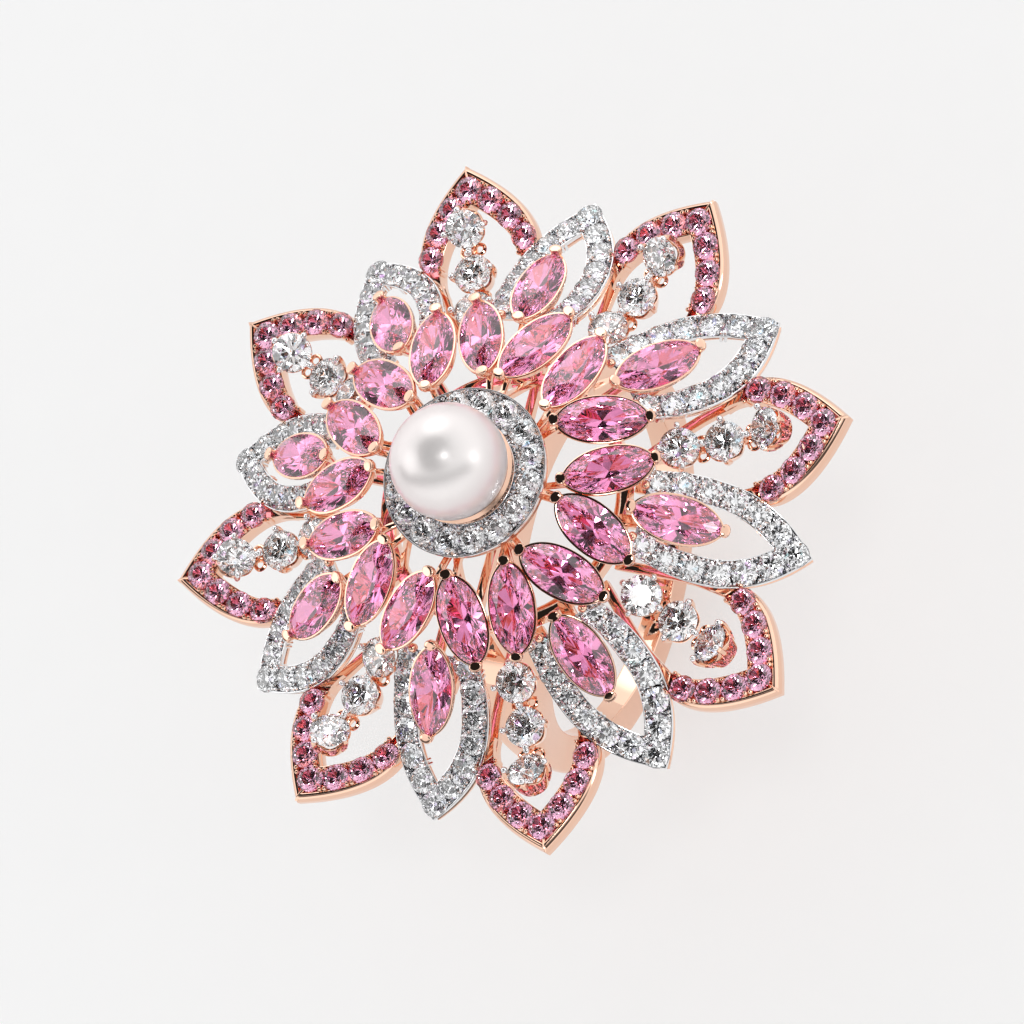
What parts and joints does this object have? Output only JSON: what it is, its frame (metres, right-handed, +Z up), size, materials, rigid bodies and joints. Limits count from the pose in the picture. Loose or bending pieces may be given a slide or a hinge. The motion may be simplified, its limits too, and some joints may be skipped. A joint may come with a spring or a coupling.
{
  "type": "cocktail ring",
  "caption": "Domed flower ring: a pearl in a pave halo, pink pointed-oval stones and layered open petals on a plain rose-gold band that flares under the flower.",
  "frame": {"origin": "centre of the finger hole", "axes": "+Y along the finger, +Z up through the middle of the flower, +X across the finger"},
  "size_m": [0.0324, 0.0324, 0.0317],
  "materials": {
    "rose_gold": "mirror-polished rose gold",
    "white_gold": "polished rhodium-plated white gold, bright cut round the stones",
    "pearl": "round white pearl with a pink overtone and a soft lustre",
    "clear_stone": "brilliant-cut clear gemstone, used by the visual model's round and pave stones",
    "pink_stone": "faceted pink gemstone"
  },
  "bodies": {
    "root": {"shank": "rose_gold", "gallery_frame": "rose_gold", "pearl_cup": "rose_gold", "pearl": "pearl", "halo_ring": "white_gold", "marquise_crown": "rose_gold", "white_petal_1": "white_gold", "pink_petal_1": "rose_gold", "trio_setting_1": "rose_gold", "outer_marquise_1": "pink_stone", "white_petal_2": "white_gold", "pink_petal_2": "rose_gold", "trio_setting_2": "rose_gold", "outer_marquise_2": "pink_stone", "white_petal_3": "white_gold", "pink_petal_3": "rose_gold", "trio_setting_3": "rose_gold", "outer_marquise_3": "pink_stone", "white_petal_4": "white_gold", "pink_petal_4": "rose_gold", "trio_setting_4": "rose_gold", "outer_marquise_4": "pink_stone", "white_petal_5": "white_gold", "pink_petal_5": "rose_gold", "trio_setting_5": "rose_gold", "outer_marquise_5": "pink_stone", "white_petal_6": "white_gold", "pink_petal_6": "rose_gold", "trio_setting_6": "rose_gold", "outer_marquise_6": "pink_stone", "white_petal_7": "white_gold", "pink_petal_7": "rose_gold", "trio_setting_7": "rose_gold", "outer_marquise_7": "pink_stone", "white_petal_8": "white_gold", "pink_petal_8": "rose_gold", "trio_setting_8": "rose_gold", "outer_marquise_8": "pink_stone", "inner_marquise_1": "pink_stone", "inner_marquise_2": "pink_stone", "inner_marquise_3": "pink_stone", "inner_marquise_4": "pink_stone", "inner_marquise_5": "pink_stone", "inner_marquise_6": "pink_stone", "inner_marquise_7": "pink_stone", "inner_marquise_8": "pink_stone", "inner_marquise_9": "pink_stone", "inner_marquise_10": "pink_stone", "inner_marquise_11": "pink_stone", "inner_marquise_12": "pink_stone", "inner_marquise_13": "pink_stone", "inner_marquise_14": "pink_stone", "inner_marquise_15": "pink_stone", "inner_marquise_16": "pink_stone"}
  },
  "joints": []
}
